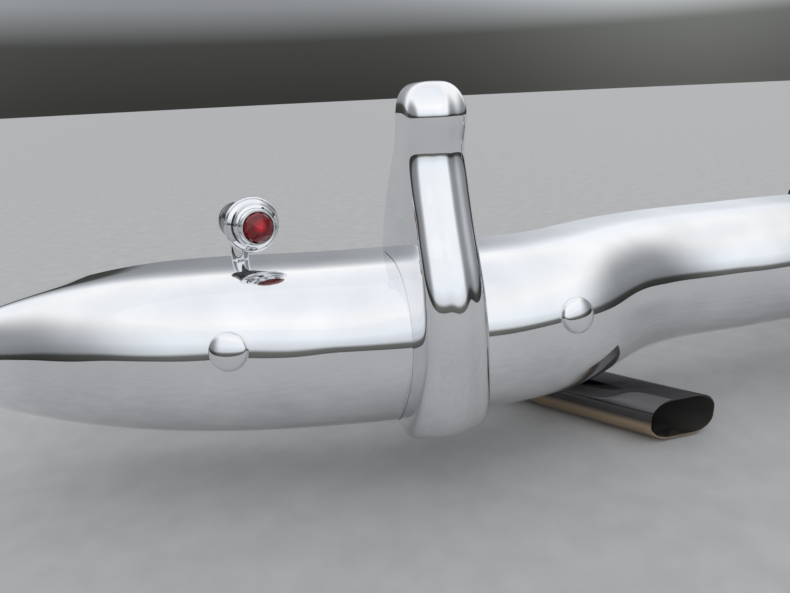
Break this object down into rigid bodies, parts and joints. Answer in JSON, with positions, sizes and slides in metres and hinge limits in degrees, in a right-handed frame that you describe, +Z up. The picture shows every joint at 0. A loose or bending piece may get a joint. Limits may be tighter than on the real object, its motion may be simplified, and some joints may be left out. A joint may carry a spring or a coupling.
{
  "type": "vehicle rear bumper",
  "caption": "Chromed steel rear bumper of a vintage delivery vehicle, with guards, round marker lamps, mounting irons and a hung exhaust tip.",
  "frame": {"origin": "middle of the four bolt holes where the two bumper irons meet the chassis", "axes": "+Z up, the vehicle lies towards +Y, the polished face looks towards -Y, +X to the right seen from behind the vehicle"},
  "size_m": [1.8, 0.3721, 0.377],
  "materials": {
    "polished_chrome": "bright chrome plate",
    "black_paint": "semi-gloss black enamel",
    "zinc_steel": "zinc plated",
    "red_lens": "red faceted glass",
    "smoked_chrome": "polished steel, darkened by heat"
  },
  "bodies": {
    "root": {"arm_bolts_left": "zinc_steel", "arm_bolts_right": "zinc_steel", "arm_left": "black_paint", "arm_nuts_left": "zinc_steel", "arm_nuts_right": "zinc_steel", "arm_right": "black_paint", "bar_bolt_left": "polished_chrome", "bar_bolt_right": "polished_chrome", "bar_nut_left": "zinc_steel", "bar_nut_right": "zinc_steel", "exhaust_tip": "smoked_chrome", "face_bar": "polished_chrome", "guard_bolt_left": "zinc_steel", "guard_bolt_right": "zinc_steel", "guard_clamp_left": "black_paint", "guard_clamp_right": "black_paint", "guard_left": "polished_chrome", "guard_nut_left": "zinc_steel", "guard_nut_right": "zinc_steel", "guard_right": "polished_chrome", "hanger_bolt": "zinc_steel", "hanger_nut": "zinc_steel", "iron_left": "black_paint", "iron_right": "black_paint", "lamp_bezel_left": "polished_chrome", "lamp_bezel_right": "polished_chrome", "lamp_foot_left": "polished_chrome", "lamp_foot_right": "polished_chrome", "lamp_housing_left": "black_paint", "lamp_housing_right": "black_paint", "lamp_lens_left": "red_lens", "lamp_lens_right": "red_lens", "tip_hanger": "black_paint", "wing_bolt_left": "polished_chrome", "wing_bolt_right": "polished_chrome", "wing_nut_left": "zinc_steel", "wing_nut_right": "zinc_steel"}
  },
  "joints": []
}
